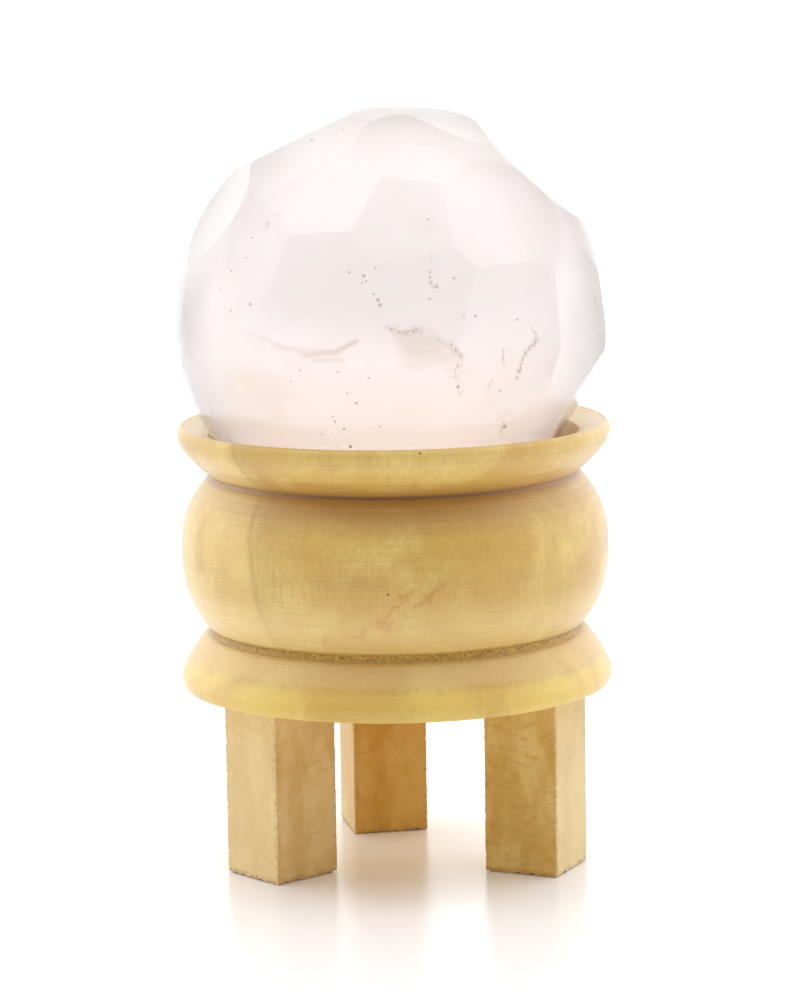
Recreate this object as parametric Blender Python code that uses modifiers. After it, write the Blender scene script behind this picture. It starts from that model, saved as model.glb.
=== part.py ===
"""Faceted crystal ball on a turned wooden stand.

The stand is one block of pale wood, turned as a rim, a round belly and a foot flange with a groove
between each two, hollowed above, and carried by three square sawn legs. A hidden dowel pins each leg
to the underside. A hand-faceted quartz ball rests loose in the rim's seat and lifts straight out.

Frame: metres, +Z up, -Y towards the front. The origin is on the turning axis, level with the feet.
"""

import math

import bmesh
import bpy
from mathutils import Vector

MM = 0.001
CLEARANCE = 0.3 * MM            # between pieces that touch

# Turned bowl: driving radii and heights
BLANK_RADIUS = 35.0 * MM        # rim and foot flange keep the blank's full radius
BELLY_RADIUS = 34.65 * MM
BELLY_FULLNESS = 2.4            # power of the belly's curve; 2 is close to an arc
NECK_RADIUS = 30.0 * MM         # bottom of the groove under the rim
WAIST_RADIUS = 30.2 * MM        # bottom of the groove over the foot flange
UNDERSIDE_RADIUS = 34.6 * MM

UNDERSIDE_Z = 29.5 * MM
FLANGE_Z = 31.0 * MM            # widest level of the foot flange
WAIST_Z = 38.9 * MM
BELLY_Z = 51.7 * MM             # widest level of the belly
NECK_Z = 63.9 * MM
RIM_Z = 70.7 * MM               # widest level of the rim
LIP_Z = 72.0 * MM               # top of the lip
LIP_RADIUS = 34.3 * MM
TURNED_SIDES = 64

# Hollow inside the bowl, below the ball's seat
HOLLOW_FLOOR_Z = 46.5 * MM
HOLLOW_FLOOR_RADIUS = 15.0 * MM
HOLLOW_WALL_RADIUS = 26.6 * MM
HOLLOW_WALL_Z = 64.5 * MM
SEAT_INNER_RADIUS = 29.2 * MM
SEAT_OUTER_RADIUS = 30.0 * MM

# Crystal ball
BALL_RADIUS = 34.75 * MM
BALL_Z = 88.5 * MM
BALL_FILL_FACETS = 64           # facets laid around the ball where none is listed
BALL_FILL_SPACING = math.radians(24.0)
BALL_FILL_DEPTH = 33.6 * MM
BALL_FILL_WAVE = 0.35 * MM      # uneven depth of hand-cut facets
BALL_FILL_START = 0.9           # turn of the spiral that the filling facets follow
WELD_DISTANCE = 0.01 * MM

# Facets that give the ball its outline and front: azimuth, elevation in degrees, depth in millimetres
FACETS = (
    (-113.0, 42.0, 33.4),       # bright facet, upper left
    (-55.5, 33.0, 33.2),        # bright facet, upper right
    (-84.5, 33.5, 33.6),        # between the two bright ones
    (-77.5, 57.0, 33.4),        # front of the crown
    (-40.0, 68.0, 34.0),
    (-134.5, 55.5, 33.3),
    (175.0, 65.0, 32.5),        # flat shoulder, upper left
    (-162.0, 33.0, 33.6),
    (-130.0, 23.0, 34.1),
    (-111.0, 19.0, 33.9),
    (-81.0, 11.5, 33.6),        # front centre
    (-48.5, 33.0, 33.4),
    (-54.5, 3.0, 33.0),
    (-7.0, 47.0, 32.8),         # straight outline, upper right
    (2.0, 8.0, 33.4),           # straight outline, right
    (-28.0, 4.0, 33.3),
    (-26.5, -9.5, 33.3),        # bright facet, lower right
    (-11.0, -30.0, 32.2),       # deep cut over the right of the rim
    (-35.5, -33.0, 32.7),
    (-88.0, -18.0, 33.6),
    (-112.0, -6.0, 34.0),
    (-150.0, 4.0, 34.0),
    (-140.0, -22.0, 34.0),
    (180.0, -12.0, 34.5),       # barely ground, round outline on the left
)

# Legs and their dowels
LEG_SIDE = 12.5 * MM
LEG_TOP_Z = UNDERSIDE_Z - CLEARANCE
LEG_EDGE = 0.4 * MM             # worn edge
LEGS = {                        # name: centre x, centre y, turn about +Z in degrees
    "left": (-19.0 * MM, -10.0 * MM, 41.5),
    "right": (22.1 * MM, -8.5 * MM, 65.0),
    "rear": (-2.7 * MM, 21.4 * MM, 11.5),
}
DOWEL_RADIUS = 2.5 * MM
DOWEL_SIDES = 24
DOWEL_CHAMFER = 0.5 * MM
DOWEL_IN_LEG = 10.0 * MM        # depth of the hole in the leg
DOWEL_IN_BOWL = 11.7 * MM       # depth of the hole in the bowl

WOOD = (0.68, 0.47, 0.19, 1.0)
SAWN_WOOD = (0.63, 0.42, 0.17, 1.0)
DOWEL_WOOD = (0.60, 0.42, 0.22, 1.0)
QUARTZ = (0.93, 0.87, 0.85, 1.0)


def clear_scene():
    """Remove whatever the scene holds."""
    for old in list(bpy.data.objects):
        bpy.data.objects.remove(old, do_unlink=True)


def new_collection(name):
    """Make a collection in the scene."""
    made = bpy.data.collections.new(name)
    bpy.context.scene.collection.children.link(made)
    return made


def new_material(name, colour, roughness, transmission=0.0):
    """Make a Principled material."""
    made = bpy.data.materials.new(name)
    made.use_nodes = True
    shader = made.node_tree.nodes["Principled BSDF"]
    shader.inputs["Base Color"].default_value = colour
    shader.inputs["Roughness"].default_value = roughness
    shader.inputs["Metallic"].default_value = 0.0
    shader.inputs["Transmission Weight"].default_value = transmission
    return made


def new_object(name, mesh, collection, material=None):
    """Put a mesh in a collection as a named object."""
    made = bpy.data.objects.new(name, mesh)
    if material:
        mesh.materials.append(material)
    collection.objects.link(made)
    return made


def mesh_from(bm, name):
    """Turn a bmesh into a mesh and free it."""
    made = bpy.data.meshes.new(name)
    bm.to_mesh(made)
    bm.free()
    return made


def cut(target, cutter):
    """Take the cutter's shape out of the target."""
    boolean = target.modifiers.new("cut_" + cutter.name, "BOOLEAN")
    boolean.operation = "DIFFERENCE"
    boolean.solver = "EXACT"
    boolean.object = cutter
    cutter.hide_render = True
    cutter.display_type = "WIRE"


def round_from_widest(wide, end, steps):
    """Points of an arc that stands upright at its widest point and runs to another point."""
    fall = abs(end[1] - wide[1])
    inset = wide[0] - end[0]
    radius = (fall * fall + inset * inset) / (2.0 * inset)
    sweep = math.asin(fall / radius)
    up = math.copysign(1.0, end[1] - wide[1])
    points = []
    for step in range(steps + 1):
        angle = sweep * step / steps
        r = wide[0] - radius + radius * math.cos(angle)
        points.append((r, wide[1] + up * radius * math.sin(angle)))
    return points


def swelling(wide, end, power, steps):
    """Points of a full curve that stands upright at its widest point and falls in by a power of its run."""
    points = []
    for step in range(steps + 1):
        t = step / steps
        inset = (wide[0] - end[0]) * t ** power
        points.append((wide[0] - inset, wide[1] + (end[1] - wide[1]) * t))
    return points


def bowed(start, end, bulge, steps):
    """Points of a shallow curve between two points, bulging to the left of its run."""
    along = Vector(end) - Vector(start)
    side = Vector((-along.y, along.x)).normalized()
    points = []
    for step in range(steps + 1):
        t = step / steps
        at = Vector(start) + along * t + side * (4.0 * bulge * t * (1.0 - t))
        points.append((at.x, at.y))
    return points


def seat_height(radius):
    """Height of the seat at a radius, one clearance below the ball."""
    reach = BALL_RADIUS + CLEARANCE
    return BALL_Z - math.sqrt(reach * reach - radius * radius)


def hollow_profile():
    """Inside of the bowl, from the axis out over the floor and up to the lip."""
    depth = HOLLOW_WALL_Z - HOLLOW_FLOOR_Z
    width = HOLLOW_WALL_RADIUS - HOLLOW_FLOOR_RADIUS
    steps = 7
    points = [(0.0, HOLLOW_FLOOR_Z)]
    for step in range(steps + 1):
        angle = math.radians(90.0) * (1.0 - step / steps)
        r = HOLLOW_FLOOR_RADIUS + width * math.cos(angle)
        points.append((r, HOLLOW_WALL_Z - depth * math.sin(angle)))
    points.append((SEAT_INNER_RADIUS, seat_height(SEAT_INNER_RADIUS)))
    seat_edge = (SEAT_OUTER_RADIUS, seat_height(SEAT_OUTER_RADIUS))
    dish_edge = (LIP_RADIUS - 0.4 * MM, LIP_Z - 0.1 * MM)
    return points + bowed(seat_edge, dish_edge, -0.1 * MM, 3)


def rim_profile():
    """Lip and outer face of the rim, down to the neck groove."""
    widest = (BLANK_RADIUS, RIM_Z)
    shoulder = (BLANK_RADIUS - 0.8 * MM, RIM_Z - 2.3 * MM)
    neck_top = (NECK_RADIUS + 0.3 * MM, NECK_Z + 0.5 * MM)
    lip = bowed((LIP_RADIUS, LIP_Z), widest, 0.18 * MM, 3)
    face = round_from_widest(widest, shoulder, 3)
    slope = bowed(shoulder, neck_top, 0.15 * MM, 3)
    return lip + face[1:] + slope[1:]


def belly_profile():
    """Neck groove, belly and waist groove."""
    widest = (BELLY_RADIUS, BELLY_Z)
    top = (NECK_RADIUS + 0.4 * MM, NECK_Z - 0.6 * MM)
    bottom = (WAIST_RADIUS + 0.4 * MM, WAIST_Z + 0.5 * MM)
    upper = swelling(widest, top, BELLY_FULLNESS, 8)
    lower = swelling(widest, bottom, BELLY_FULLNESS, 8)
    groove = [(NECK_RADIUS, NECK_Z)]
    return groove + upper[::-1] + lower[1:] + [(WAIST_RADIUS, WAIST_Z)]


def flange_profile():
    """Foot flange, from the waist groove round its edge to the axis below."""
    widest = (BLANK_RADIUS, FLANGE_Z)
    slope_top = (WAIST_RADIUS + 0.3 * MM, WAIST_Z - 0.5 * MM)
    slope_end = (BLANK_RADIUS - 0.5 * MM, FLANGE_Z + 1.6 * MM)
    slope = bowed(slope_top, slope_end, 0.25 * MM, 3)
    over = round_from_widest(widest, slope_end, 3)
    under = round_from_widest(widest, (UNDERSIDE_RADIUS, UNDERSIDE_Z), 4)
    return slope + over[::-1][1:] + under[1:] + [(0.0, UNDERSIDE_Z)]


def turn(name, profile, collection, material):
    """Turn a profile of radii and heights about the vertical axis."""
    bm = bmesh.new()
    verts = [bm.verts.new((r, 0.0, z)) for r, z in profile]
    for first, second in zip(verts, verts[1:]):
        bm.edges.new((first, second))
    made = new_object(name, mesh_from(bm, name), collection, material)
    screw = made.modifiers.new("turning", "SCREW")
    screw.axis = "Z"
    screw.angle = math.radians(360.0)
    screw.steps = TURNED_SIDES
    screw.render_steps = TURNED_SIDES
    screw.use_merge_vertices = True
    screw.merge_threshold = WELD_DISTANCE
    screw.use_smooth_shade = True
    return made


def dowel_hole(name, x, y, collection):
    """Cutter for the aligned holes of one dowel, in the leg and in the bowl."""
    low = LEG_TOP_Z - DOWEL_IN_LEG
    high = UNDERSIDE_Z + DOWEL_IN_BOWL
    bm = bmesh.new()
    radius = DOWEL_RADIUS + CLEARANCE
    bmesh.ops.create_cone(
        bm, cap_ends=True, segments=DOWEL_SIDES, radius1=radius, radius2=radius, depth=high - low
    )
    made = new_object(name, mesh_from(bm, name), collection)
    made.location = (x, y, (low + high) / 2.0)
    return made


def dowel(name, x, y, collection, material):
    """Round pin with chamfered ends that joins a leg to the bowl."""
    low = LEG_TOP_Z - DOWEL_IN_LEG + CLEARANCE
    high = UNDERSIDE_Z + DOWEL_IN_BOWL - CLEARANCE
    bm = bmesh.new()
    bmesh.ops.create_cone(
        bm, cap_ends=True, segments=DOWEL_SIDES, radius1=DOWEL_RADIUS, radius2=DOWEL_RADIUS,
        depth=high - low
    )
    ends = [e for e in bm.edges if abs(e.verts[0].co.z - e.verts[1].co.z) < WELD_DISTANCE]
    bmesh.ops.bevel(bm, geom=ends, offset=DOWEL_CHAMFER, segments=1, affect="EDGES")
    made = new_object(name, mesh_from(bm, name), collection, material)
    made.location = (x, y, (low + high) / 2.0)
    made.data.shade_smooth()
    made.data.set_sharp_from_angle(angle=math.radians(30.0))
    return made


def leg(name, x, y, turn_degrees, collection, material):
    """Square sawn leg standing on the floor."""
    bm = bmesh.new()
    bmesh.ops.create_cube(bm, size=1.0)
    bmesh.ops.scale(bm, vec=(LEG_SIDE, LEG_SIDE, LEG_TOP_Z), verts=bm.verts)
    made = new_object(name, mesh_from(bm, name), collection, material)
    made.location = (x, y, LEG_TOP_Z / 2.0)
    made.rotation_euler.z = math.radians(turn_degrees)
    worn = made.modifiers.new("worn_edges", "BEVEL")
    worn.width = LEG_EDGE
    worn.segments = 2
    return made


def direction(azimuth, elevation):
    """Unit vector at an azimuth about +Z from +X and an elevation, both in radians."""
    level = math.cos(elevation)
    return Vector((math.cos(azimuth) * level, math.sin(azimuth) * level, math.sin(elevation)))


def ball_facets():
    """Normal and depth of every facet: the listed ones, then a spiral of others between them."""
    facets = []
    for azimuth, elevation, depth in FACETS:
        facets.append((direction(math.radians(azimuth), math.radians(elevation)), depth * MM))
    listed = [normal for normal, depth in facets]
    golden_turn = math.pi * (3.0 - math.sqrt(5.0))
    for index in range(BALL_FILL_FACETS):
        rise = 1.0 - 2.0 * (index + 0.5) / BALL_FILL_FACETS
        normal = direction(golden_turn * index + BALL_FILL_START, math.asin(rise))
        if min(normal.angle(other) for other in listed) > BALL_FILL_SPACING:
            depth = BALL_FILL_DEPTH + BALL_FILL_WAVE * math.sin(7.3 * index)
            facets.append((normal, depth))
    return facets


def crystal_ball(name, collection, material):
    """Ball ground with flat facets, with its round skin left between the shallow ones."""
    bm = bmesh.new()
    bmesh.ops.create_icosphere(bm, subdivisions=5, radius=BALL_RADIUS)
    for normal, depth in ball_facets():
        everything = bm.verts[:] + bm.edges[:] + bm.faces[:]
        sliced = bmesh.ops.bisect_plane(
            bm, geom=everything, dist=WELD_DISTANCE, plane_co=normal * depth, plane_no=normal,
            clear_outer=True
        )
        open_edges = [g for g in sliced["geom_cut"] if isinstance(g, bmesh.types.BMEdge)]
        bmesh.ops.holes_fill(bm, edges=open_edges, sides=0)
    bmesh.ops.remove_doubles(bm, verts=bm.verts, dist=WELD_DISTANCE)
    bmesh.ops.recalc_face_normals(bm, faces=bm.faces)
    made = new_object(name, mesh_from(bm, name), collection, material)
    made.location.z = BALL_Z
    return made


def main():
    """Build the stand and the ball."""
    clear_scene()
    parts = new_collection("crystal_ball_on_stand")
    cutters = new_collection("cutters")
    turned_wood = new_material("turned_wood", WOOD, 0.5)
    sawn_wood = new_material("sawn_wood", SAWN_WOOD, 0.8)
    dowel_wood = new_material("dowel_wood", DOWEL_WOOD, 0.7)
    quartz = new_material("quartz", QUARTZ, 0.12, transmission=0.6)

    profile = hollow_profile() + rim_profile() + belly_profile() + flange_profile()
    bowl = turn("turned_bowl", profile, parts, turned_wood)
    for side, (x, y, turn_degrees) in LEGS.items():
        hole = dowel_hole("dowel_hole_" + side, x, y, cutters)
        square = leg("leg_" + side, x, y, turn_degrees, parts, sawn_wood)
        cut(square, hole)
        cut(bowl, hole)
        dowel("dowel_" + side, x, y, parts, dowel_wood)
    crystal_ball("crystal_ball", parts, quartz)


main()
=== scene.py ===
import math
import random

import bmesh
import bpy
from mathutils import Matrix, Vector, noise

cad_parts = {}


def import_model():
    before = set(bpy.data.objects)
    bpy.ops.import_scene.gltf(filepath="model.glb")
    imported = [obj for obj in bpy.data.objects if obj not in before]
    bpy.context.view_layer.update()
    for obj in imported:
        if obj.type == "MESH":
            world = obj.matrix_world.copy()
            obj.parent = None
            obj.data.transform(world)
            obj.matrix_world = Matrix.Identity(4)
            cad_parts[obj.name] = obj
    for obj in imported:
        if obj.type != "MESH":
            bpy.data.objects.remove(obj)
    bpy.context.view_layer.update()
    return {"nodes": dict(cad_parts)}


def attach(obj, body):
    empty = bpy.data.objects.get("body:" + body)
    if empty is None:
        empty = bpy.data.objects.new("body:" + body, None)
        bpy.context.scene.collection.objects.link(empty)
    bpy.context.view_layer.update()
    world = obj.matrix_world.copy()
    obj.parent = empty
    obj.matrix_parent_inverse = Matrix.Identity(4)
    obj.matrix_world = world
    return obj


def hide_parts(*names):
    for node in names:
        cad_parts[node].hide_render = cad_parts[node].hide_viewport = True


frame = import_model()

MM = 0.001

# The same driving sizes as the CAD part, in millimetres
CLEARANCE = 0.3                 # between the ball and its seat, the legs and the bowl
BLANK_RADIUS = 35.0             # rim and foot flange
BELLY_RADIUS = 34.65
BELLY_FULLNESS = 2.4            # power of the belly's curve
NECK_RADIUS = 30.0
WAIST_RADIUS = 30.2             # bottom of the groove over the foot flange
UNDERSIDE_RADIUS = 34.6
UNDERSIDE_Z = 29.5
FLANGE_Z = 31.0
WAIST_Z = 38.9
BELLY_Z = 51.7
NECK_Z = 63.9
RIM_Z = 70.7
LIP_Z = 72.0
HOLLOW_FLOOR_Z = 46.5
HOLLOW_FLOOR_RADIUS = 15.0
HOLLOW_WALL_RADIUS = 26.6
HOLLOW_WALL_Z = 64.5
SEAT_INNER_RADIUS = 29.2
SEAT_OUTER_RADIUS = 30.0
BALL_RADIUS = 34.75
BALL_Z = 88.5
LEG_SIDE = 12.5
LEG_TOP_Z = UNDERSIDE_Z - CLEARANCE
LEGS = {                        # centre x, centre y, turn about +Z in degrees
    "left": (-19.0, -10.0, 41.5),
    "right": (22.1, -8.5, 65.0),
    "rear": (-2.7, 21.4, 11.5),
}

# Camera
LENS = 133.2
SENSOR = 36.0
CAMERA_DISTANCE = 600.0
CAMERA_ELEVATION = 8.9
CAMERA_ROLL = -0.9
CAMERA_TARGET = (1.46, 0.0, 58.95)


# ---------------------------------------------------------------- shader nodes

class Graph:
    """Short calls that add shader nodes to one material."""

    def __init__(self, tree):
        self.tree = tree

    def feed(self, socket, value):
        """Link a socket to a value socket, or set it to a number, vector or colour."""
        if isinstance(value, bpy.types.NodeSocket):
            self.tree.links.new(value, socket)
        elif value is not None:
            socket.default_value = value

    def node(self, kind, **settings):
        made = self.tree.nodes.new(kind)
        for key, value in settings.items():
            setattr(made, key, value)
        return made

    def math(self, operation, a, b=None, c=None, clamp=False):
        made = self.node("ShaderNodeMath", operation=operation, use_clamp=clamp)
        for socket, value in zip(made.inputs, (a, b, c)):
            self.feed(socket, value)
        return made.outputs[0]

    def split(self, vector):
        made = self.node("ShaderNodeSeparateXYZ")
        self.feed(made.inputs[0], vector)
        return made.outputs[0], made.outputs[1], made.outputs[2]

    def join(self, x, y, z):
        made = self.node("ShaderNodeCombineXYZ")
        for socket, value in zip(made.inputs, (x, y, z)):
            self.feed(socket, value)
        return made.outputs[0]

    def stretched(self, x, y, z, factors):
        """Vector whose parts are scaled one by one, to draw a noise out along an axis."""
        parts = [self.math("MULTIPLY", part, factor) for part, factor in zip((x, y, z), factors)]
        return self.join(*parts)

    def vector(self, operation, a, b=None, scale=None):
        made = self.node("ShaderNodeVectorMath", operation=operation)
        self.feed(made.inputs[0], a)
        if b is not None:
            self.feed(made.inputs[1], b)
        if scale is not None:
            self.feed(made.inputs["Scale"], scale)
        return made.outputs["Value"] if operation == "DOT_PRODUCT" else made.outputs[0]

    def noise(self, vector, scale=1.0, detail=2.0, roughness=0.5, distortion=0.0):
        made = self.node("ShaderNodeTexNoise")
        self.feed(made.inputs["Vector"], vector)
        made.inputs["Scale"].default_value = scale
        made.inputs["Detail"].default_value = detail
        made.inputs["Roughness"].default_value = roughness
        made.inputs["Distortion"].default_value = distortion
        return made.outputs[0]

    def step(self, value, low, high, out_low=0.0, out_high=1.0):
        """Smooth step from one level to another."""
        made = self.node("ShaderNodeMapRange", interpolation_type="SMOOTHSTEP")
        self.feed(made.inputs["Value"], value)
        made.inputs["From Min"].default_value = low
        made.inputs["From Max"].default_value = high
        made.inputs["To Min"].default_value = out_low
        made.inputs["To Max"].default_value = out_high
        return made.outputs[0]

    def mix(self, factor, a, b):
        made = self.node("ShaderNodeMix", data_type="RGBA")
        self.feed(made.inputs[0], factor)
        self.feed(made.inputs[6], a)
        self.feed(made.inputs[7], b)
        return made.outputs[2]

    def bump(self, height, distance, strength):
        made = self.node("ShaderNodeBump")
        self.feed(made.inputs["Height"], height)
        made.inputs["Distance"].default_value = distance
        made.inputs["Strength"].default_value = strength
        return made.outputs[0]


def new_material(name):
    """Make a Principled material; gives the material, its graph and its shader."""
    made = bpy.data.materials.new(name)
    made.use_nodes = True
    return made, Graph(made.node_tree), made.node_tree.nodes["Principled BSDF"]


def millimetres(graph):
    """Object coordinates in millimetres."""
    coordinates = graph.node("ShaderNodeTexCoord")
    return graph.vector("SCALE", coordinates.outputs["Object"], scale=1000.0)


def linear(red, green, blue):
    """Colour given as 0 to 255 display values."""
    def curve(value):
        value = value / 255.0
        return value / 12.92 if value <= 0.04045 else ((value + 0.055) / 1.055) ** 2.4
    return (curve(red), curve(green), curve(blue), 1.0)


def largest(g, masks):
    """Largest of several masks."""
    total = masks[0]
    for mask in masks[1:]:
        total = g.math("MAXIMUM", total, mask)
    return total


def weighted(g, make, rows):
    """Largest of the masks that the rows describe, each scaled by the row's last number."""
    return largest(g, [g.math("MULTIPLY", make(*row[:-1]), row[-1]) for row in rows])


# ---------------------------------------------------------------- turned wood

BEAD_Z = 34.6                   # where the flange's slope turns into its bead
ARC_PER_DEGREE = 0.6            # millimetres along the belly for one degree
WOOD_DEEP = (216, 172, 74)
WOOD_PALE = (236, 203, 110)

# Marks in the wood: azimuth from the front in degrees, height in millimetres
FIGURE = (                      # azimuth, height, half length, half width, tilt in degrees, strength
    (-19.5, 41.6, 1.7, 0.8, 40.0, 0.75), (-14.0, 42.6, 1.2, 0.5, 30.0, 0.4),
    (-9.5, 43.4, 2.0, 0.7, 35.0, 0.7), (-3.2, 45.0, 2.0, 1.2, 48.0, 0.85),
    (-0.8, 46.9, 1.3, 0.6, 50.0, 0.7), (1.8, 48.9, 1.7, 0.7, 48.0, 0.6),
    (5.0, 49.9, 1.2, 0.5, 30.0, 0.4), (8.0, 48.7, 2.8, 0.8, 40.0, 0.6),
    (12.6, 50.6, 2.0, 0.5, 42.0, 0.35), (16.0, 52.8, 1.6, 0.4, 45.0, 0.2),
    (-6.6, 44.6, 0.8, 0.4, 30.0, 0.5), (3.4, 46.2, 1.0, 0.4, 50.0, 0.3),
)
PALE_FIGURE = (
    (-6.3, 43.1, 1.4, 0.9, 20.0, 0.5), (8.2, 51.5, 2.6, 1.4, 40.0, 0.55),
    (3.0, 50.6, 1.2, 0.6, 45.0, 0.4), (-12.0, 44.8, 1.8, 0.5, 35.0, 0.3),
    (13.0, 53.6, 2.4, 0.9, 45.0, 0.3), (17.5, 70.6, 0.7, 0.3, 10.0, 0.8),
    (-70.0, 32.8, 2.6, 1.0, 5.0, 0.3),
)
PINS = (                        # azimuth, height, radius in millimetres
    (-1.9, 49.7, 0.27), (6.8, 71.5, 0.255), (11.3, 62.0, 0.24), (-6.0, 42.6, 0.15),
    (-55.2, 32.7, 0.225), (34.6, 58.1, 0.12), (-36.1, 36.6, 0.15), (6.0, 55.2, 0.12),
    (-24.0, 60.9, 0.105), (26.0, 46.0, 0.105), (52.0, 66.5, 0.15), (-62.0, 54.0, 0.105),
    (120.0, 50.0, 0.225), (165.0, 58.0, 0.1875), (-140.0, 44.0, 0.21), (95.0, 67.0, 0.165),
)


def oval_mark(g, along, height, azimuth, level, length, width, tilt):
    """Mask of a tilted oval on the turning, fading towards its rim."""
    dx = g.math("SUBTRACT", along, azimuth * ARC_PER_DEGREE)
    dz = g.math("SUBTRACT", height, level)
    cosine = math.cos(math.radians(tilt))
    sine = math.sin(math.radians(tilt))
    run = g.math("ADD", g.math("MULTIPLY", dx, cosine / length), g.math("MULTIPLY", dz, sine / length))
    upward = g.math("MULTIPLY", dz, cosine / width)
    rise = g.math("SUBTRACT", upward, g.math("MULTIPLY", dx, sine / width))
    away = g.math("ADD", g.math("MULTIPLY", run, run), g.math("MULTIPLY", rise, rise))
    return g.step(away, 0.35, 1.0, 1.0, 0.0)


def band(g, value, centre, inner, outer):
    """Mask that is 1 within a distance of a level and fades out at a wider one."""
    return g.step(g.math("ABSOLUTE", g.math("SUBTRACT", value, centre)), inner, outer, 1.0, 0.0)


class Turning:
    """Coordinates on the turning, in millimetres and degrees, and the noises that its marks share."""

    def __init__(self, g):
        self.place = millimetres(g)
        self.x, self.y, self.z = g.split(self.place)
        turned = g.math("ARCTAN2", self.x, g.math("MULTIPLY", self.y, -1.0))
        self.azimuth = g.math("MULTIPLY", turned, math.degrees(1.0))
        self.along = g.math("MULTIPLY", self.azimuth, ARC_PER_DEGREE)
        x_squared = g.math("MULTIPLY", self.x, self.x)
        self.radius = g.math("SQRT", g.math("ADD", x_squared, g.math("MULTIPLY", self.y, self.y)))
        self.cloud = g.noise(self.place, scale=0.06, detail=4.0, roughness=0.6, distortion=0.6)
        drawn_out = g.stretched(self.x, self.y, self.z, (2.2, 2.2, 0.25))
        self.fibre = g.noise(drawn_out, scale=1.1, detail=5.0, roughness=0.65)
        rings = g.stretched(0.0, self.radius, self.z, (1.0, 1.6, 2.6))
        self.lines = g.noise(rings, detail=6.0, roughness=0.75)
        self.flecks = g.noise(self.place, scale=2.4, detail=3.0, roughness=0.7)
        self.torn = g.noise(self.place, scale=1.9, detail=4.0, roughness=0.75)


def wood_tone(g, t):
    """Slow clouds, upright fibres, lathe lines and tiny flecks of end grain."""
    colour = g.mix(g.step(t.cloud, 0.36, 0.64), linear(*WOOD_DEEP), linear(*WOOD_PALE))
    colour = g.mix(g.step(t.fibre, 0.45, 0.75, 0.0, 0.35), colour, linear(184, 146, 70))
    colour = g.mix(g.step(t.fibre, 0.25, 0.45, 0.30, 0.0), colour, linear(232, 208, 140))
    patchy = g.step(g.noise(t.place, scale=0.12, detail=2.0), 0.35, 0.65)
    scored = g.math("MULTIPLY", g.step(t.lines, 0.48, 0.68, 0.0, 0.5), patchy)
    colour = g.mix(scored, colour, linear(168, 128, 60))
    colour = g.mix(g.step(t.flecks, 0.6, 0.74, 0.0, 0.35), colour, linear(160, 120, 52))
    return g.mix(g.step(t.flecks, 0.3, 0.4, 0.25, 0.0), colour, linear(240, 220, 160))


def growth_line(g, t, colour):
    """Faint dark line down the left, pale wood on its left and a greenish shade on its right."""
    wander = g.math("SUBTRACT", g.noise(g.join(2.0, 0.0, t.z), scale=0.11), 0.5)
    leaning = g.math("ADD", g.math("MULTIPLY", g.math("SUBTRACT", t.z, BELLY_Z - 0.7), -0.26), -39.6)
    line_at = g.math("ADD", leaning, g.math("MULTIPLY", wander, 3.0))
    away = g.math("SUBTRACT", t.azimuth, line_at)
    fade = g.math("MULTIPLY", g.step(t.z, 36.5, 40.0, 0.15, 1.0), g.step(t.fibre, 0.3, 0.6, 0.6, 1.0))
    pale = g.math("MULTIPLY", g.step(away, -2.5, 0.5, 1.0, 0.0), g.step(away, -24.0, -6.0, 0.0, 0.16))
    shade = g.math("MULTIPLY", g.step(away, -1.5, 2.5), g.step(away, 2.0, 17.0, 0.24, 0.0))
    thin = g.step(g.math("ABSOLUTE", away), 0.0, 1.6, 0.26, 0.0)
    colour = g.mix(g.math("MULTIPLY", pale, fade), colour, linear(236, 208, 146))
    colour = g.mix(g.math("MULTIPLY", shade, fade), colour, linear(166, 138, 70))
    return g.mix(g.math("MULTIPLY", thin, fade), colour, linear(134, 98, 44))


def figure(g, t, colour):
    """Ragged diagonal figure on the belly, and pin knots."""
    ragged = g.step(g.noise(t.place, scale=1.1, detail=5.0, roughness=0.75), 0.36, 0.54, 0.3, 1.0)
    stray = g.math("SUBTRACT", g.noise(t.place, scale=0.5, detail=4.0), 0.5)
    stray = g.math("ADD", t.along, g.math("MULTIPLY", stray, 5.0))
    lifted = g.math("SUBTRACT", g.noise(t.place, scale=0.7, detail=4.0), 0.5)
    lifted = g.math("ADD", t.z, g.math("MULTIPLY", lifted, 3.0))
    for rows, tone in ((FIGURE, (198, 132, 32)), (PALE_FIGURE, (222, 200, 104))):
        marks = weighted(g, lambda *row: oval_mark(g, stray, lifted, *row), rows)
        colour = g.mix(g.math("MULTIPLY", marks, ragged), colour, linear(*tone))
    pins = largest(g, [oval_mark(g, t.along, t.z, *pin, pin[-1], 0.0) for pin in PINS])
    return g.mix(g.math("MULTIPLY", pins, 0.75), colour, linear(96, 70, 30))


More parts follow.
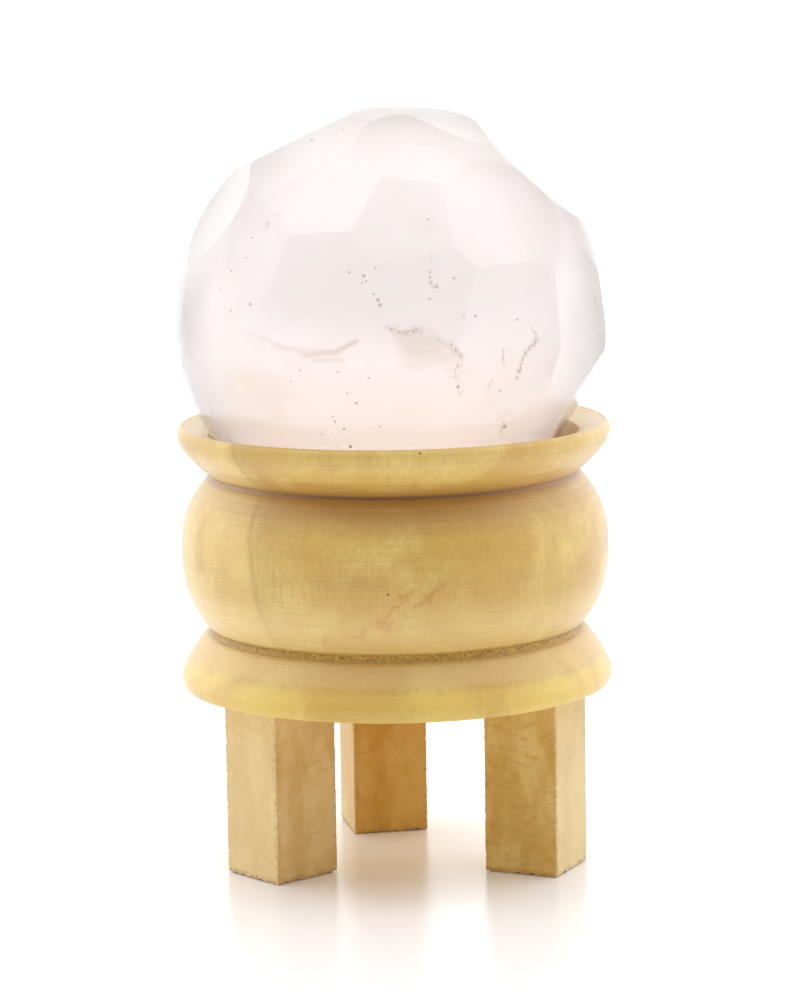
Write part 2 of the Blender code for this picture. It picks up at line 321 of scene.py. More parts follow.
def neck_stain_shade_and_highlight(g, t, colour):
    """Brown neck groove, partly its own stain and partly painted shade; painted shade on the belly under
    the rim, strongest at the front; and a painted highlight along the belly's top edge, partly burnish.
    """
    # Neck groove band: partly the groove's own brown stain, partly painted shade in the groove
    neck = band(g, t.z, NECK_Z, 0.35, 0.9)
    filled = g.step(t.torn, 0.3, 0.6, 0.5, 0.9)
    colour = g.mix(g.math("MULTIPLY", neck, filled), colour, linear(176, 118, 38))
    # Painted shade: the belly darkened just under the rim, where the rim shades it and the dark front is
    # reflected, strongest at the front
    painted_rim_shade = g.math("MULTIPLY", g.step(t.z, 57.5, 62.6), g.step(t.z, 63.8, 67.0, 1.0, 0.0))
    shade_towards_front = g.step(g.math("ABSOLUTE", t.azimuth), 15.0, 60.0, 0.85, 0.25)
    colour = g.mix(g.math("MULTIPLY", painted_rim_shade, shade_towards_front), colour, linear(178, 124, 42))
    # Darkest line at the bottom of the neck groove: partly its own stain, partly painted shade, strongest
    # at the front
    groove_stain_and_shade = band(g, t.z, NECK_Z, 0.1, 0.45)
    colour = g.mix(g.math("MULTIPLY", groove_stain_and_shade, shade_towards_front), colour, linear(122, 80, 26))
    # Painted highlight along the belly's top edge just under the groove, partly a real burnish
    burnish_and_highlight = band(g, t.z, NECK_Z - 1.55, 0.05, 0.45)
    shining = g.step(t.cloud, 0.4, 0.6, 0.1, 0.35)
    return g.mix(g.math("MULTIPLY", burnish_and_highlight, shining), colour, linear(222, 184, 104))


def waist_stain_and_lip_highlight(g, t, colour, waist):
    """Torn golden waist groove, under a lip with a painted highlight along the belly's bottom edge."""
    inside = g.mix(g.step(t.torn, 0.38, 0.6), linear(162, 116, 14), linear(214, 170, 58))
    colour = g.mix(waist, colour, inside)
    # Painted highlight: a pale line along the belly's bottom edge, over the groove
    lip = band(g, t.z, WAIST_Z + 1.15, 0.1, 0.4)
    return g.mix(g.math("MULTIPLY", lip, 0.5), colour, linear(232, 206, 140))


def foot_tone_and_painted_light(g, t, colour, slope):
    """Greyer slope on the flange over a yellower bead, the slope partly a painted reflection; the lower
    belly lightened as painted bounce light from the floor; and a pale lip.
    """
    # Flange slope greyer and lighter: partly its rougher finish, partly a painted reflection of the light
    # above
    colour = g.mix(g.math("MULTIPLY", slope, 0.5), colour, linear(230, 190, 128))
    bead = g.step(t.z, BEAD_Z - 1.4, BEAD_Z - 0.2, 1.0, 0.0)
    yellow = g.step(t.cloud, 0.4, 0.6, 0.3, 0.7)
    colour = g.mix(g.math("MULTIPLY", bead, yellow), colour, linear(240, 204, 88))
    # Painted bounce light: the lower belly lightened as if lit by the floor below
    painted_bounce_light = g.math("MULTIPLY", g.step(t.z, 39.8, 41.0), g.step(t.z, 43.0, 50.0, 0.45, 0.0))
    colour = g.mix(painted_bounce_light, colour, linear(246, 214, 140))
    lip_inside = g.math("MULTIPLY", g.step(t.z, 69.5, 71.5), g.step(t.radius, 33.6, 34.0, 1.0, 0.0))
    return g.mix(g.math("MULTIPLY", lip_inside, 0.6), colour, linear(244, 222, 176))


def turned_wood():
    """Pale turned wood with lathe lines, a growth line, diagonal figure, grooves with their own stain,
    painted shade under the rim, painted highlights along the belly's edges and painted bounce light on the
    lower belly.
    """
    made, g, shader = new_material("turned_wood_look")
    t = Turning(g)
    waist = band(g, t.z, WAIST_Z - 0.1, 0.5, 0.95)
    over_bead = g.step(t.z, BEAD_Z - 0.4, BEAD_Z + 0.6)
    slope = g.math("MULTIPLY", over_bead, g.step(t.z, WAIST_Z - 1.2, WAIST_Z, 1.0, 0.0))
    colour = figure(g, t, growth_line(g, t, wood_tone(g, t)))
    colour = waist_stain_and_lip_highlight(g, t, colour, waist)
    colour = neck_stain_shade_and_highlight(g, t, colour)
    g.feed(shader.inputs["Base Color"], foot_tone_and_painted_light(g, t, colour, slope))

    rough = g.math("ADD", g.step(t.fibre, 0.3, 0.7, 0.42, 0.55), g.math("MULTIPLY", slope, 0.12))
    g.feed(shader.inputs["Roughness"], g.math("ADD", rough, g.math("MULTIPLY", waist, 0.3)))
    shader.inputs["Specular IOR Level"].default_value = 0.5
    shader.inputs["Coat Weight"].default_value = 0.8
    shader.inputs["Coat Roughness"].default_value = 0.36
    shader.inputs["Sheen Weight"].default_value = 0.3
    shader.inputs["Sheen Roughness"].default_value = 0.35
    height = g.math("ADD", g.math("MULTIPLY", t.lines, 0.5), g.math("MULTIPLY", t.fibre, 0.3))
    height = g.math("ADD", height, g.math("MULTIPLY", t.flecks, 0.3))
    height = g.math("ADD", height, g.math("MULTIPLY", g.math("MULTIPLY", t.torn, waist), 2.5))
    g.feed(shader.inputs["Normal"], g.bump(height, 0.00012, 0.7))
    return made


HOLLOW_STEPS = 12
WAIST_GROOVE = (                # radius past the waist's, level over it
    (0.1, 0.35), (-0.05, 0.1), (-0.05, -0.3), (0.1, -0.7), (0.3, -0.8),
)
UNDERSIDE_RINGS = (34.3, 25.0, 12.0, 0.0)
TURNED_SIDES = 288
SMOOTH_INSIDE = 28.0            # radius inside which the turning is left smooth
RIPPLE = 0.035                  # height of the tool's ripple
TEAR = 0.22                     # height of the torn grain in the waist groove


def swelling(wide, end, power, steps):
    """Full curve that stands upright at its widest point and falls in by a power of its run."""
    points = []
    for step in range(steps + 1):
        t = step / steps
        points.append((wide[0] - (wide[0] - end[0]) * t ** power, wide[1] + (end[1] - wide[1]) * t))
    return points


def arc_points(wide, end, steps):
    """Arc that stands upright at its widest point and runs to another point."""
    fall = abs(end[1] - wide[1])
    inset = wide[0] - end[0]
    radius = (fall * fall + inset * inset) / (2.0 * inset)
    sweep = math.asin(fall / radius)
    up = math.copysign(1.0, end[1] - wide[1])
    turned = [sweep * step / steps for step in range(steps + 1)]
    return [(wide[0] - radius + radius * math.cos(a), wide[1] + up * radius * math.sin(a)) for a in turned]


def bowed(start, end, bulge, steps):
    """Shallow curve between two points, bulging to the left of its run."""
    along = Vector(end) - Vector(start)
    side = Vector((-along.y, along.x)).normalized()
    parts = [step / steps for step in range(steps + 1)]
    points = [Vector(start) + along * t + side * (4.0 * bulge * t * (1.0 - t)) for t in parts]
    return [(p.x, p.y) for p in points]


def seat_height(radius):
    """Level of the dished seat, which follows the ball at a clearance."""
    reach = BALL_RADIUS + CLEARANCE
    return BALL_Z - math.sqrt(reach * reach - radius * radius)


def inside_profile():
    """Hollow and seat, from the axis outwards."""
    across = HOLLOW_WALL_RADIUS - HOLLOW_FLOOR_RADIUS
    rise = HOLLOW_WALL_Z - HOLLOW_FLOOR_Z
    points = [(0.0, HOLLOW_FLOOR_Z)]
    for step in range(HOLLOW_STEPS + 1):
        angle = math.radians(90.0) * (1.0 - step / HOLLOW_STEPS)
        radius = HOLLOW_FLOOR_RADIUS + across * math.cos(angle)
        points.append((radius, HOLLOW_WALL_Z - rise * math.sin(angle)))
    points.append((SEAT_INNER_RADIUS, seat_height(SEAT_INNER_RADIUS)))
    seat_edge = (SEAT_OUTER_RADIUS, seat_height(SEAT_OUTER_RADIUS))
    return points + bowed(seat_edge, (BLANK_RADIUS - 1.25, LIP_Z - 0.15), -0.1, 8)


def rim_profile():
    """Rounded lip and the rim's flare, down to the neck groove."""
    rim = (BLANK_RADIUS, RIM_Z)
    under_rim = (BLANK_RADIUS - 0.8, RIM_Z - 2.3)
    neck = (NECK_RADIUS + 0.25, NECK_Z + 0.45)
    points = bowed((BLANK_RADIUS - 0.85, LIP_Z), rim, 0.25, 8)
    points += arc_points(rim, under_rim, 8)[1:]
    points += bowed(under_rim, neck, 0.15, 10)[1:]
    return points + [(NECK_RADIUS, NECK_Z + 0.15), (NECK_RADIUS + 0.05, NECK_Z - 0.2)]


def belly_profile():
    """Belly between the two grooves."""
    widest = (BELLY_RADIUS, BELLY_Z)
    points = swelling(widest, (NECK_RADIUS + 0.4, NECK_Z - 0.6), BELLY_FULLNESS, 30)[::-1]
    return points + swelling(widest, (WAIST_RADIUS + 0.4, WAIST_Z + 0.5), BELLY_FULLNESS, 30)[1:]


def foot_profile():
    """Waist groove, flange and flat underside, back to the axis."""
    points = [(WAIST_RADIUS + inset, WAIST_Z + level) for inset, level in WAIST_GROOVE]
    flange = (BLANK_RADIUS, FLANGE_Z)
    bead = (BLANK_RADIUS - 0.5, FLANGE_Z + 1.6)
    points += bowed((WAIST_RADIUS + 0.6, WAIST_Z - 0.75), bead, 0.25, 16)[1:]
    points += arc_points(flange, bead, 6)[::-1][1:]
    points += arc_points(flange, (UNDERSIDE_RADIUS, UNDERSIDE_Z), 6)[1:]
    return points + [(radius, UNDERSIDE_Z) for radius in UNDERSIDE_RINGS]


def bowl_profile():
    """The turning's profile from the axis inside, over the lip and down to the axis below."""
    return inside_profile() + rim_profile() + belly_profile() + foot_profile()


def turn(name, profile, sides):
    """Turn a profile into a mesh, with one vertex at each end on the axis."""
    bm = bmesh.new()
    rings = []
    for r, z in profile:
        if r == 0.0:
            rings.append([bm.verts.new((0.0, 0.0, z * MM))])
            continue
        ring = []
        for side in range(sides):
            angle = 2.0 * math.pi * side / sides
            ring.append(bm.verts.new((r * math.cos(angle) * MM, r * math.sin(angle) * MM, z * MM)))
        rings.append(ring)
    for upper, lower in zip(rings, rings[1:]):
        for side in range(sides):
            follow = (side + 1) % sides
            if len(upper) == 1:
                bm.faces.new((upper[0], lower[side], lower[follow]))
            elif len(lower) == 1:
                bm.faces.new((upper[side], lower[0], upper[follow]))
            else:
                bm.faces.new((upper[side], lower[side], lower[follow], upper[follow]))
    bmesh.ops.recalc_face_normals(bm, faces=bm.faces)
    return finish_mesh(bm, name)


def finish_mesh(bm, name):
    """Turn a bmesh into a smooth-shaded object."""
    mesh = bpy.data.meshes.new(name)
    bm.to_mesh(mesh)
    bm.free()
    mesh.shade_smooth()
    made = bpy.data.objects.new(name, mesh)
    bpy.context.scene.collection.objects.link(made)
    return made


def turned_piece():
    """The bowl with its fine turning."""
    made = turn("turned_stand", bowl_profile(), TURNED_SIDES)
    for vertex in made.data.vertices:
        co = vertex.co / MM
        radius = math.hypot(co.x, co.y)
        if radius < SMOOTH_INSIDE:
            continue
        outward = Vector((co.x / radius, co.y / radius, 0.0))
        ripple = noise.noise(Vector((0.0, radius * 0.5, co.z * 1.9))) * RIPPLE
        depth = max(0.0, 1.0 - abs(co.z - WAIST_Z - 0.1) / 1.6)
        torn = noise.noise(Vector((co.x * 0.9, co.y * 0.9, co.z * 1.3))) * TEAR * depth
        vertex.co += outward * (ripple + torn) * MM
    made.data.set_sharp_from_angle(angle=math.radians(40.0))
    made.data.materials.append(turned_wood())
    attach(made, "stand")
    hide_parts("turned_bowl")


# ---------------------------------------------------------------- sawn legs

LEG_STEPS = 44                  # grid across a face
LEG_LEVELS = 100                # grid up a face
LEG_TONES = {                   # deep tone, pale tone, share of amber blotches, axis of the face painted lighter as the lit side
    "left": ((226, 184, 112), (240, 206, 142), 0.15, 0),
    "right": ((222, 178, 88), (238, 204, 124), 0.6, 1),
    "rear": ((218, 166, 72), (232, 190, 104), 0.3, 0),
}
HAIRS_PER_EDGE = 16
SAW_SLANT = 0.22                # rise of the saw marks across a face


class Sawing:
    """Coordinates in a leg's own frame, in millimetres, and the noises that its marks share."""

    def __init__(self, g, x, y, turn_degrees):
        self.place = g.vector("SUBTRACT", millimetres(g), (x, y, 0.0))
        turned = g.node("ShaderNodeVectorRotate", rotation_type="Z_AXIS")
        g.feed(turned.inputs["Vector"], self.place)
        turned.inputs["Angle"].default_value = -math.radians(turn_degrees)
        self.u, self.v, self.z = g.split(turned.outputs[0])
        drawn_out = g.stretched(self.u, self.v, self.z, (3.2, 3.2, 0.35))
        self.fibre = g.noise(drawn_out, scale=1.2, detail=5.0, roughness=0.7)
        across = g.math("ADD", self.u, self.v)
        slant = g.math("SUBTRACT", self.z, g.math("MULTIPLY", across, SAW_SLANT))
        strokes = g.stretched(0.0, across, slant, (1.0, 0.06, 1.0))
        self.saw = g.noise(strokes, scale=1.5, detail=4.0, roughness=0.7)
        self.speck = g.noise(self.place, scale=3.0, detail=2.0, roughness=0.7)
        self.torn = g.noise(g.join(self.u, self.v, self.z), scale=1.4, detail=4.0, roughness=0.75)


def sawn_tone(g, t, deep, pale, amber, lit_face_axis):
    """Clouds, amber blotches, fibres, saw strokes and specks, with one face painted lighter as the lit
    side.
    """
    cloud = g.noise(g.stretched(t.u, t.v, t.z, (1.0, 1.0, 0.4)), scale=0.16, detail=3.0, roughness=0.6)
    colour = g.mix(g.step(cloud, 0.36, 0.62), linear(*deep), linear(*pale))
    wide = g.stretched(t.u, t.v, t.z, (0.55, 0.55, 1.0))
    blotch = g.noise(wide, scale=0.6, detail=5.0, roughness=0.72)
    colour = g.mix(g.step(blotch, 0.50, 0.68, 0.0, amber), colour, linear(212, 158, 62))
    colour = g.mix(g.step(t.fibre, 0.48, 0.76, 0.0, 0.22), colour, linear(190, 140, 62))
    colour = g.mix(g.step(t.fibre, 0.24, 0.44, 0.25, 0.0), colour, linear(250, 230, 176))
    colour = g.mix(g.step(t.saw, 0.50, 0.72, 0.0, 0.35), colour, linear(198, 150, 76))
    colour = g.mix(g.step(t.speck, 0.62, 0.76, 0.0, 0.35), colour, linear(170, 124, 54))
    face = -LEG_SIDE / 2.0
    # Painted light: one face of each leg lightened as the face that the light falls on
    painted_lit_face = g.step((t.u, t.v)[lit_face_axis], face + 0.15, face + 0.5, 0.42, 0.0)
    return g.mix(painted_lit_face, colour, linear(252, 232, 172))


def sawn_wear(g, t, colour):
    """Frayed upright edges, a darker lower end and an amber torn upper end."""
    reach = g.math("ADD", g.math("ABSOLUTE", t.u), g.math("ABSOLUTE", t.v))
    near_edge = g.step(reach, LEG_SIDE - 1.1, LEG_SIDE - 0.2)
    frayed = g.math("MULTIPLY", near_edge, g.step(t.torn, 0.45, 0.62, 0.0, 0.5))
    colour = g.mix(frayed, colour, linear(198, 148, 66))
    low = g.math("MULTIPLY", g.step(t.z, 0.1, 1.1, 1.0, 0.0), g.step(t.torn, 0.4, 0.6, 0.1, 0.6))
    colour = g.mix(low, colour, linear(170, 122, 52))
    top = g.step(t.z, LEG_TOP_Z - 1.3, LEG_TOP_Z - 0.2)
    high = g.math("MULTIPLY", top, g.step(t.torn, 0.4, 0.56, 0.15, 0.8))
    return g.mix(high, colour, linear(196, 138, 52))


def sawn_wood(side, x, y, turn_degrees, tones):
    """Rough sawn wood: fibres, slanted saw marks, amber blotches, torn edges and ends, and one face
    painted lighter as the lit side.
    """
    made, g, shader = new_material("sawn_wood_look_" + side)
    t = Sawing(g, x, y, turn_degrees)
    g.feed(shader.inputs["Base Color"], sawn_wear(g, t, sawn_tone(g, t, *tones)))
    g.feed(shader.inputs["Roughness"], g.step(t.fibre, 0.3, 0.7, 0.7, 0.88))
    shader.inputs["Specular IOR Level"].default_value = 0.4
    shader.inputs["Sheen Weight"].default_value = 0.8
    shader.inputs["Sheen Roughness"].default_value = 0.4
    height = g.math("ADD", g.math("MULTIPLY", t.fibre, 0.35), g.math("MULTIPLY", t.saw, 0.7))
    height = g.math("ADD", height, g.math("MULTIPLY", t.speck, 0.25))
    g.feed(shader.inputs["Normal"], g.bump(height, 0.0003, 0.8))
    return made


def roughen(co, seed):
    """Move one point of a leg's smooth skin, in the leg's own frame with z up from the floor."""
    half = LEG_SIDE / 2.0
    reach_x = abs(co.x) / half
    reach_y = abs(co.y) / half
    outward = Vector((co.x if reach_x > 0.999 else 0.0, co.y if reach_y > 0.999 else 0.0, 0.0))
    if outward.length > 0.0:
        outward.normalize()
    grain = noise.fractal(Vector((co.x * 1.6 + seed, co.y * 1.6, co.z * 0.4)), 1.0, 2.0, 4) * 0.035
    slant = co.z - (co.x + co.y) * SAW_SLANT
    saw = noise.noise(Vector((seed, 0.3, slant * 1.5))) * 0.05
    edge = max(0.0, (reach_x + reach_y - 1.90) / 0.10)
    chip = noise.noise(Vector((seed, co.x * 0.4 + co.y * 0.9, co.z * 1.7)))
    fray = noise.noise(Vector((seed + 4.0, co.x + co.y, co.z * 4.5)))
    worn = edge * (0.03 + 0.16 * max(0.0, chip) + 0.10 * fray)
    low = max(0.0, 1.0 - co.z / 1.2)
    ragged = low * 0.25 * max(0.0, noise.noise(Vector((co.x * 1.1, co.y * 1.1, seed))))
    co += outward * (grain + saw - max(0.0, worn) - ragged)
    if co.z < 0.01:
        co.z += max(0.0, 0.7 * noise.noise(Vector((co.x * 0.8, co.y * 0.8, seed + 5.0))))


def add_hairs(bm, seed):
    """Loose fibres that stand off a leg's upright edges."""
    draw = random.Random(seed)
    inset = LEG_SIDE / 2.0 - 0.25
    for corner_x in (-1.0, 1.0):
        for corner_y in (-1.0, 1.0):
            for _ in range(HAIRS_PER_EDGE):
                root = Vector((corner_x * inset, corner_y * inset, draw.uniform(0.6, 28.0)))
                out = Vector((corner_x, corner_y, 0.0)).normalized()
                out.rotate(Matrix.Rotation(draw.uniform(-0.7, 0.7), 3, "Z"))
                length = draw.uniform(0.2, 0.5)
                tip = root + out * length * 0.75 + Vector((0.0, 0.0, draw.uniform(-1.0, 0.5) * length))
                thick = draw.uniform(0.05, 0.1)
                add_sliver(bm, root, tip, thick)


def add_sliver(bm, root, tip, thick):
    """Thin closed wedge from a three-sided root to a point."""
    run = (tip - root).normalized()
    side = run.orthogonal().normalized()
    ring = []
    for third in range(3):
        offset = side.copy()
        offset.rotate(Matrix.Rotation(math.radians(120.0 * third), 3, run))
        ring.append(bm.verts.new(root + offset * thick))
    point = bm.verts.new(tip)
    bm.faces.new((ring[2], ring[1], ring[0]))
    for first in range(3):
        bm.faces.new((ring[first], ring[(first + 1) % 3], point))


def sawn_leg(side, x, y, turn_degrees, seed):
    """Square leg with sawn faces, chipped edges, a ragged lower end and loose fibres."""
    bm = bmesh.new()
    bmesh.ops.create_cube(bm, size=1.0)
    bmesh.ops.scale(bm, vec=(LEG_SIDE, LEG_SIDE, LEG_TOP_Z), verts=bm.verts)
    bmesh.ops.translate(bm, vec=(0.0, 0.0, LEG_TOP_Z / 2.0), verts=bm.verts)
    upright = [e for e in bm.edges if abs(e.verts[0].co.z - e.verts[1].co.z) > 1.0]
    bmesh.ops.subdivide_edges(bm, edges=upright, cuts=LEG_LEVELS, use_grid_fill=True)
    level = [e for e in bm.edges if e.calc_length() > 1.0]
    bmesh.ops.subdivide_edges(bm, edges=level, cuts=LEG_STEPS, use_grid_fill=True)
    for vertex in bm.verts:
        roughen(vertex.co, seed)
    bmesh.ops.recalc_face_normals(bm, faces=bm.faces)
    add_hairs(bm, int(seed))
    turned = Matrix.Rotation(math.radians(turn_degrees), 4, "Z")
    place = Matrix.Translation((x * MM, y * MM, 0.0)) @ turned @ Matrix.Scale(MM, 4)
    bmesh.ops.transform(bm, matrix=place, verts=bm.verts)
    made = finish_mesh(bm, "sawn_leg_" + side)
    made.data.set_sharp_from_angle(angle=math.radians(40.0))
    made.data.materials.append(sawn_wood(side, x, y, turn_degrees, LEG_TONES[side]))
    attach(made, "stand")
    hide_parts("leg_" + side)


def leg_pieces():
    for count, (side, (x, y, turn_degrees)) in enumerate(LEGS.items()):
        sawn_leg(side, x, y, turn_degrees, 11.0 * count + 3.0)


def dowel_look():
    """Straight-grained dowel wood on the carried-over pins."""
    made, g, shader = new_material("dowel_wood_look")
    x, y, z = g.split(millimetres(g))
    grain = g.noise(g.stretched(x, y, z, (4.0, 4.0, 0.3)), detail=4.0)
    g.feed(shader.inputs["Base Color"], g.mix(grain, linear(190, 150, 92), linear(222, 190, 136)))
    shader.inputs["Roughness"].default_value = 0.7
    g.feed(shader.inputs["Normal"], g.bump(grain, 0.0002, 0.6))
    for side in LEGS:
        node = frame["nodes"]["dowel_" + side]
        node.data.materials.clear()
        node.data.materials.append(made)


# ---------------------------------------------------------------- crystal

# Flaws of the quartz, and a few patches of painted reflection and painted shade, placed by azimuth and
# elevation in degrees as seen from the ball's centre
SPECKS = (                      # azimuth, elevation, radius in degrees
    (-101.0, 18.0, 0.4), (-97.0, 17.0, 0.55), (-96.3, 15.6, 0.35), (-97.4, 15.2, 0.3),
    (-93.9, 19.0, 0.35), (-94.4, 12.4, 0.35), (-93.3, 10.9, 0.6), (-92.7, 9.6, 0.6),
    (-72.8, 16.0, 0.45), (-79.7, 11.0, 0.45), (-67.6, 6.0, 0.55), (-71.0, 6.4, 0.3),
    (-54.0, 4.2, 0.5), (-151.0, 27.0, 0.4), (-142.0, 19.0, 0.3), (-138.0, 17.0, 0.4),
    (-134.0, 21.0, 0.35), (-141.0, 12.0, 0.4), (-136.0, 7.0, 0.5), (-129.0, 9.0, 0.6),
    (-134.0, 26.5, 0.35), (-121.0, 66.0, 0.5), (-21.0, 40.0, 0.55), (-78.0, 32.5, 0.35),
    (-101.7, -13.0, 0.35), (-99.6, -15.9, 0.5), (-106.2, -19.4, 0.35), (-105.8, -20.8, 0.45),
    (-103.5, -22.9, 0.4), (-110.2, -24.5, 0.35), (-114.5, -7.5, 0.35), (-117.4, -10.4, 0.35),
    (-57.0, -24.1, 0.8), (-60.7, -13.8, 0.4), (-96.0, -9.0, 0.35), (-72.8, -11.9, 0.5),
    (-139.0, 61.5, 0.8), (-93.6, -23.1, 0.35), (-104.0, -7.6, 0.35), (-102.4, -28.2, 0.6),
)
CRACKS = (                      # from and to in azimuth and elevation, half width, strength
    ((-78.2, 23.2), (-79.0, 20.5), 0.72, 0.6),
    ((-79.3, 18.0), (-79.2, 15.0), 0.96, 0.8),
    ((-79.2, 14.4), (-77.6, 14.2), 0.96, 0.9),
    ((-90.8, 3.8), (-87.8, 2.4), 1.44, 0.7),
    ((-87.8, 2.4), (-82.4, 2.8), 1.44, 0.9),
    ((-78.6, 0.3), (-74.6, -1.3), 1.44, 0.6),
    ((-74.9, -0.9), (-72.2, -4.3), 1.6, 0.9),
    ((-72.2, -4.3), (-73.3, -7.1), 1.6, 0.5),
    ((-73.3, -7.1), (-72.1, -14.4), 1.28, 0.4),
    ((-50.6, 4.3), (-49.0, 1.6), 0.4, 0.5),
    ((-49.0, 1.6), (-47.5, -1.8), 0.64, 1.0),
    ((-47.5, -1.8), (-52.3, -5.4), 1.52, 0.9),
    ((-52.3, -5.4), (-54.7, -11.3), 1.2, 0.9),
    ((-59.0, -3.6), (-59.3, -7.4), 0.8, 0.8),
    ((-63.0, -11.0), (-64.6, -12.6), 0.8, 0.8),
    ((-17.8, 8.5), (-16.5, 4.0), 0.8, 0.6),
    ((-112.0, 69.0), (-100.0, 68.6), 0.8, 0.5),
    ((-74.0, 60.0), (-66.0, 59.4), 0.8, 0.5),
    ((-58.4, -21.0), (-57.4, -27.3), 0.96, 0.5),
)
BOWS = (                        # smooth brown arcs: from, to, half width, strength
    ((-132.0, 2.2), (-125.5, 1.0), 0.5, 0.25),
    ((-125.8, 1.0), (-118.4, -1.2), 0.8, 0.35),
    ((-121.5, -1.2), (-107.6, -3.2), 1.5, 0.4),
    ((-113.5, -3.3), (-103.0, -2.2), 1.7, 0.55),
    ((-105.0, -2.4), (-98.4, 0.6), 1.1, 0.65),
    ((-111.2, -4.6), (-101.9, -4.3), 1.2, 0.4),
)
TINTS = (                       # soft patches, two of them painted reflections and one painted shade: corners, softness in degrees, red green blue, strength
    # Painted reflection: a pale patch where light reflects inside the stone
    (((-133.9, 4.7), (-127.0, 7.4), (-119.1, 7.2), (-108.5, -0.1), (-114.1, -1.8), (-125.5, 1.0)),
     0.5, (255, 246, 246), 0.8),
    (((-89.8, 3.5), (-82.7, 2.8), (-72.8, -3.0), (-74.4, -5.7), (-85.3, -7.7), (-88.9, -1.9)),
     2.6, (230, 214, 200), 0.6),
    (((-140.8, -9.5), (-127.4, -6.9), (-117.1, -12.2), (-120.9, -27.0), (-137.1, -23.5)),
     2.8, (242, 224, 208), 0.75),
    # Painted reflection: a pale patch where light reflects inside the stone
    (((-89.8, -12.1), (-85.3, -7.9), (-75.4, -5.9), (-73.1, -11.9), (-82.7, -17.0)),
     0.6, (252, 243, 241), 0.7),
    (((-119.6, -15.2), (-116.5, -18.8), (-109.9, -28.0), (-112.7, -28.6), (-119.2, -20.6)),
     0.8, (255, 248, 246), 0.8),
    (((-102.5, -2.8), (-97.2, -3.6), (-97.6, -6.4), (-102.0, -6.2)), 1.2, (255, 250, 250), 0.7),
    # Painted shade: the upper right of the ball darkened towards its outline
    (((-30.0, 68.0), (40.0, 68.0), (32.0, 14.0), (-22.0, 20.0)), 6.0, (222, 208, 206), 0.9),
)
VEILS = (                       # pale sparkling clouds: azimuth, elevation, radius, strength
    (-74.0, 17.5, 5.0, 0.3), (-121.5, -5.6, 3.6, 0.6), (-117.0, -9.8, 1.8, 0.8),
    (-127.4, -1.2, 2.4, 0.6), (-127.0, 27.0, 3.0, 0.3), (-75.0, 57.0, 5.0, 0.3),
    (-107.0, -26.0, 4.0, 0.5), (-63.0, 3.0, 6.0, 0.2), (-58.0, -15.0, 6.0, 0.3),
)
STAINS = (                      # brownish granular clouds: azimuth, elevation, radius, strength
    (-82.0, 0.5, 6.0, 0.35), (-73.0, -8.0, 5.0, 0.4), (-80.0, 31.0, 6.0, 0.22),
    (-57.0, -9.0, 7.0, 0.22), (-62.0, -14.0, 6.0, 0.25), (-57.5, -22.0, 4.5, 0.5),
    (-129.6, 30.0, 1.7, 0.7), (-127.0, 33.0, 1.6, 0.4), (-112.0, 46.0, 5.0, 0.12),
)


ROUNDED_SHARE = 0.65            # how far the inner normal turns towards the sphere's


def toward(azimuth, elevation):
    """Unit vector at an azimuth and an elevation in degrees."""
    azimuth = math.radians(azimuth)
    elevation = math.radians(elevation)
    level = math.cos(elevation)
    return Vector((math.cos(azimuth) * level, math.sin(azimuth) * level, math.sin(elevation)))


def round_mark(g, facing, azimuth, elevation, radius, core=0.45):
    """Mask of a round mark on the ball, fading from its core to its rim."""
    near = g.vector("DOT_PRODUCT", facing, toward(azimuth, elevation))
    rim = math.cos(math.radians(radius))
    return g.step(near, rim, math.cos(math.radians(radius * core)))


def arc_mark(g, facing, start, end, width, wobble):
    """Mask of a narrow mark along an arc of the ball."""
    first = toward(*start)
    last = toward(*end)
    pole = first.cross(last).normalized()
    middle = (first + last).normalized()
    half = first.angle(middle)
    side = g.math("ABSOLUTE", g.math("ADD", g.vector("DOT_PRODUCT", facing, pole), wobble))
    reach = math.radians(width)
    beside = g.step(side, 0.0, reach, 1.0, 0.0)
    along = g.vector("DOT_PRODUCT", facing, middle)
    return g.math("MULTIPLY", beside, g.step(along, math.cos(half + reach), math.cos(0.8 * half)))


def patch_mark(g, facing, corners, softness):
    """Mask of a convex patch of the ball, its corners listed clockwise as seen from outside."""
    soft = math.radians(softness)
    total = None
    points = [toward(*corner) for corner in corners]
    for first, last in zip(points, points[1:] + points[:1]):
        pole = last.cross(first).normalized()
        side = g.step(g.vector("DOT_PRODUCT", facing, pole), -soft, soft)
        total = side if total is None else g.math("MULTIPLY", total, side)
    return total


